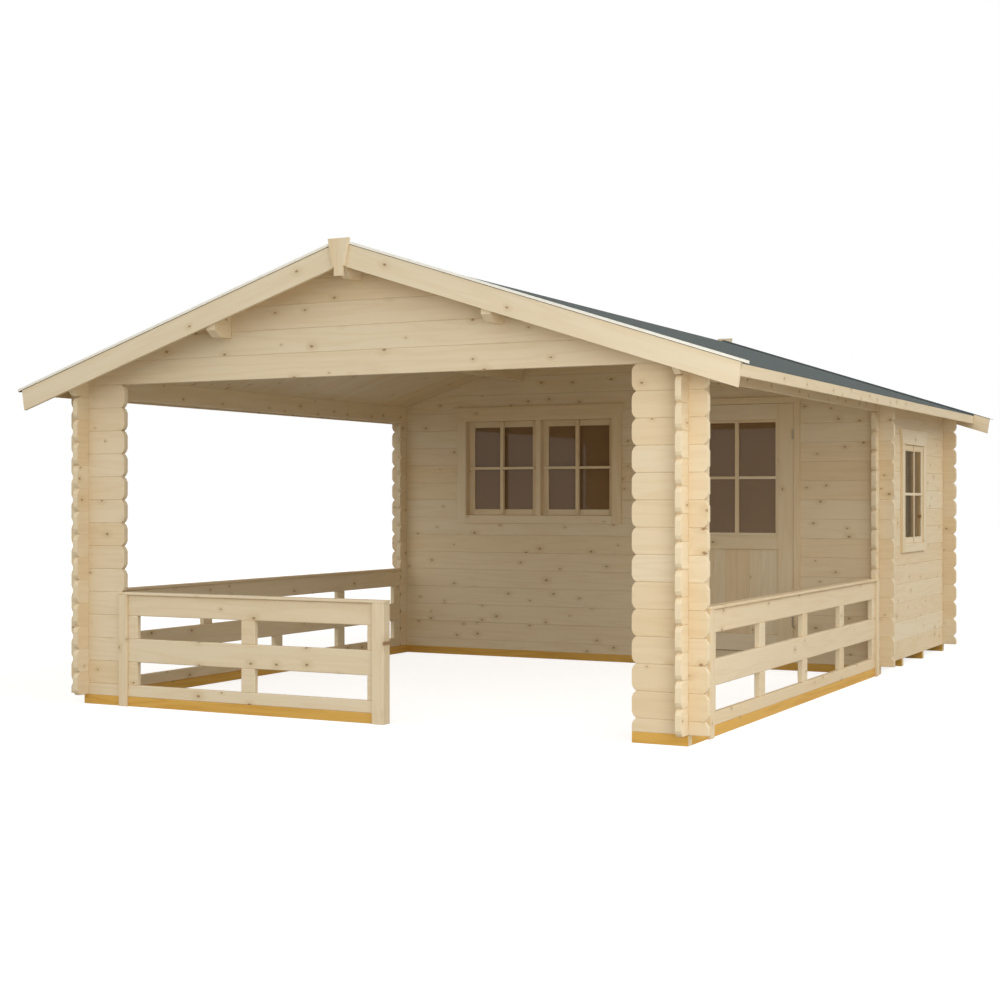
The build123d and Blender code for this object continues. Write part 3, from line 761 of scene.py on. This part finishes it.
def build_sash(boards, x0, x1, y0, place):
    """Stiles and rails of one sash."""
    z0, z1, y1, wide, ease = SASH_GAP, LIGHT_HIGH - SASH_GAP, y0 + SASH_DEEP, SASH_WIDE, 0.003
    for a, b in ((x0, x0 + wide), (x1 - wide, x1)):
        boards.board((a, y0, z0), (b, y1, z1), "z", ease, place=place)
    for a, b in ((z0, z0 + wide), (z1 - wide, z1)):
        boards.board((x0 + wide, y0, a), (x1 - wide, y1, b), "x", ease, place=place)


def build_lattice(boards, x0, x1, y0, y1, place):
    """The two crossing bars of a light, which reach over the sash nearly to the lining."""
    half_upright, half_level = 0.0135, 0.01
    foot, head, side = 0.012, 0.004, 0.013
    left, right = (x0 + x1) / 2 - half_upright, (x0 + x1) / 2 + half_upright
    low, high = LIGHT_HIGH / 2 - half_level, LIGHT_HIGH / 2 + half_level
    ease = min(0.002, (y1 - y0) / 3)
    boards.board((left, y0, foot), (right, y1, LIGHT_HIGH - head), "z", ease, place=place)
    for a, b in ((x0 + side, left), (right, x1 - side)):
        boards.board((a, y0, low), (b, y1, high), "x", ease, place=place)


def build_leaf(material):
    """The door leaf: stiles and rails with a lip in front, beads, bars and upright boards."""
    x0, x1, z0, z1, face, back = LEAF_LEFT, LEAF_RIGHT, LEAF_LOW, LEAF_HIGH, LEAF_FACE, LEAF_BACK
    stile, bottom, lock_low, lock_high = 0.108, 0.12, 0.8525, 0.9495
    lip, layer, bead = 0.003, face + 0.01, 0.02
    left, right = x0 + stile, x1 - stile
    ease, bar_ease, panel_ease = 0.0015, 0.002, 0.003
    boards = Joinery()
    for a, b, c, d in ((x0 - lip, left, x0, left), (right, x1 + lip, right, x1)):
        boards.board((a, face, z0), (b, layer, z1 + lip), "z", ease)
        boards.board((c, layer, z0), (d, back, z1), "z", ease)
    for a, b in ((z0, z0 + bottom), (lock_low, lock_high), (z1 - stile, z1)):
        boards.board((left, layer, a), (right, back, b), "x", ease)
    for a, b in ((z0, z0 + bottom), (lock_low, lock_high), (z1 - stile, z1 + lip)):
        boards.board((left, face, a), (right, layer, b), "x", ease)

    # Beads round the glass
    bead_face, bead_back = face + 0.008, back - 0.003
    glass_low, glass_high = lock_high + bead, z1 - stile - bead
    for a, b in ((left, left + bead), (right - bead, right)):
        boards.board((a, bead_face, lock_high), (b, bead_back, z1 - stile), "z", bar_ease)
    for a, b in ((lock_high, glass_low), (glass_high, z1 - stile)):
        boards.board((left + bead, bead_face, a), (right - bead, bead_back, b), "x", bar_ease)

    # Crossing bars before and behind the glass, whose ends reach into the beads
    middle, level, past = (x0 + x1) / 2, (glass_low + glass_high) / 2, 0.008
    half_upright, half_level = 0.0145, 0.01
    bar_left, bar_right = middle - half_upright, middle + half_upright
    bar_low, bar_high = level - half_level, level + half_level
    for a, b in ((face + 0.002, GLASS_FACE), (GLASS_BACK, back - 0.004)):
        low_corner, high_corner = (bar_left, a, glass_low - past), (bar_right, b, glass_high + past)
        boards.board(low_corner, high_corner, "z", bar_ease)
        for c, d in ((left + bead - past, bar_left), (bar_right, right - bead + past)):
            boards.board((c, a, bar_low), (d, b, bar_high), "x", bar_ease)

    # The panel's upright boards, set back from the stiles on both sides
    pitch, set_back = 0.09, 0.01
    edges = [left] + [middle + n * pitch for n in range(-3, 4)] + [right]
    for a, b in zip(edges, edges[1:]):
        low_corner, high_corner = (a, face + set_back, z0 + bottom), (b, back - set_back, lock_low)
        boards.board(low_corner, high_corner, "z", panel_ease)
    boards.finish("door_joinery", material, ("door_leaf",), "door")


def build_door_frame(material):
    """The casing, lining and stops round the door."""
    left, right, top = LEAF_LEFT - LEAF_GAP, LEAF_RIGHT + LEAF_GAP, LEAF_HIGH + LEAF_GAP
    front, inner, jamb, wide = 0.817, 0.917, 0.024, 0.046
    stop, stop_face, foot = 0.012, 0.865, CROSS_BASE
    ease, stop_ease = 0.0015, 0.001
    boards = Joinery()
    for a, b in ((left - wide, left), (right, right + wide)):
        boards.board((a, front, foot), (b, ROOM_FRONT, top), "z", ease)
    boards.board((left - wide, front, top), (right + wide, ROOM_FRONT, top + wide), "x", ease)
    for a, b in ((left - jamb, left), (right, right + jamb)):
        boards.board((a, ROOM_FRONT, foot), (b, inner, top), "z", ease)
    boards.board((left - jamb, ROOM_FRONT, top), (right + jamb, inner, top + jamb), "x", ease)
    for a, b in ((left, left + stop), (right - stop, right)):
        boards.board((a, stop_face, foot), (b, inner, top), "z", stop_ease)
    corner = (right - stop, inner, top)
    boards.board((left + stop, stop_face, top - stop), corner, "x", stop_ease)
    boards.finish("door_frame_joinery", material, ("door_frame",))


dress_cad_nodes()
ease_timber()
set_panes()
boarding = board_timber("planed boards", knots=0.3)
joinery = board_timber("joinery timber", knots=0.1)
lay_roof_boards(boarding)
lay_floor(boarding)
build_fences(boarding)
build_rails(boarding)
build_window(joinery, 2, DOUBLE_WINDOW, "double_window_joinery", "double_window_frame")
build_window(joinery, 1, SIDE_WINDOW, "side_window_joinery", "side_window_frame")
build_sashes(joinery)
build_leaf(joinery)
build_door_frame(joinery)


def set_camera():
    """The camera at the photograph's place and angle."""
    lens = bpy.data.cameras.new("camera")
    lens.sensor_width = 36
    lens.lens = 59.47
    camera = bpy.data.objects.new("camera", lens)
    camera.location = (4.75, -10.48, 1.2035)
    camera.rotation_euler = (radians(90), 0, radians(27.08))
    bpy.context.scene.collection.objects.link(camera)
    bpy.context.scene.camera = camera


def seen_as(tree, lighting, look):
    """A shader that lights the scene as one does and is seen, also in glass, as the other."""
    path = node(tree, "LightPath")
    seen = calc(tree, "MAXIMUM", path.outputs["Is Camera Ray"], path.outputs["Is Glossy Ray"])
    seen = calc(tree, "MAXIMUM", seen, path.outputs["Is Transmission Ray"])
    return node(tree, "MixShader", {0: seen, 1: lighting, 2: look}).outputs[0]


def sky_light(tree):
    """The studio's brightness each way: even all round, more in front and above that."""
    all_round, in_front, above = 0.22, 0.92, 0.72
    place = split(tree, node(tree, "TexCoord").outputs["Generated"])
    ahead = calc(tree, "MAXIMUM", calc(tree, "MULTIPLY", place[1], -1.0), 0.0)
    overhead = calc(tree, "MAXIMUM", place[2], 0.0)
    gain = calc(tree, "MULTIPLY_ADD", overhead, above, in_front)
    return calc(tree, "MULTIPLY_ADD", ahead, gain, all_round)


def set_sky(scene):
    """A studio sky, which is white where it is seen."""
    world = bpy.data.worlds.new("studio")
    world.use_nodes = True
    tree = world.node_tree
    tree.nodes.clear()
    lighting, white = [
        node(tree, "Background", {"Color": WHITE, "Strength": strength}).outputs[0]
        for strength in (sky_light(tree), 1.0)
    ]
    sky = node(tree, "OutputWorld")
    tree.links.new(seen_as(tree, lighting, white), sky.inputs[0])
    scene.world = world


def set_floor(scene):
    """A pale floor that keeps the cabin's shadow and is brightened where it is seen."""
    shape = bmesh.new()
    bmesh.ops.create_grid(shape, x_segments=1, y_segments=1, size=60)
    mesh = mesh_of("studio_floor", shape)
    ground = bpy.data.objects.new("studio_floor", mesh)
    scene.collection.objects.link(ground)
    material, tree, skin = new_material("studio floor")
    skin.inputs["Base Color"].default_value = FLOOR_GREY
    skin.inputs["Roughness"].default_value = 0.9
    skin.inputs["Specular IOR Level"].default_value = 0.0
    glow = node(tree, "Emission", {"Color": WHITE, "Strength": 0.8}).outputs[0]
    both = node(tree, "AddShader", {0: skin.outputs[0], 1: glow}).outputs[0]
    output = [n for n in tree.nodes if n.type == "OUTPUT_MATERIAL"][0]
    tree.links.new(seen_as(tree, skin.outputs[0], both), output.inputs[0])
    mesh.materials.append(material)


def add_lamp(scene, name, kind, aim, energy, at=(0, 0, 0), **settings):
    """A lamp turned to shine along a direction."""
    lamp = bpy.data.lights.new(name, kind)
    lamp.energy = energy
    for label, value in settings.items():
        setattr(lamp, label, value)
    holder = bpy.data.objects.new(name, lamp)
    holder.location = at
    holder.rotation_euler = Vector(aim).to_track_quat("-Z", "Y").to_euler()
    scene.collection.objects.link(holder)


def set_studio():
    """The sky, the floor and two broad soft lamps."""
    scene = bpy.context.scene
    set_sky(scene)
    set_floor(scene)
    aim, wide = (-0.8, -0.1, -0.6), radians(50)
    add_lamp(scene, "light from the right", "SUN", aim, energy=1.22, angle=wide)
    aim, corner = (-2.4, 2.7, -0.1), (4.2, -5.6, 1.3)
    add_lamp(scene, "lamp by the right corner", "AREA", aim, energy=42.0, at=corner, size=2.0)
    scene.view_settings.view_transform = "Standard"


set_camera()
set_studio()
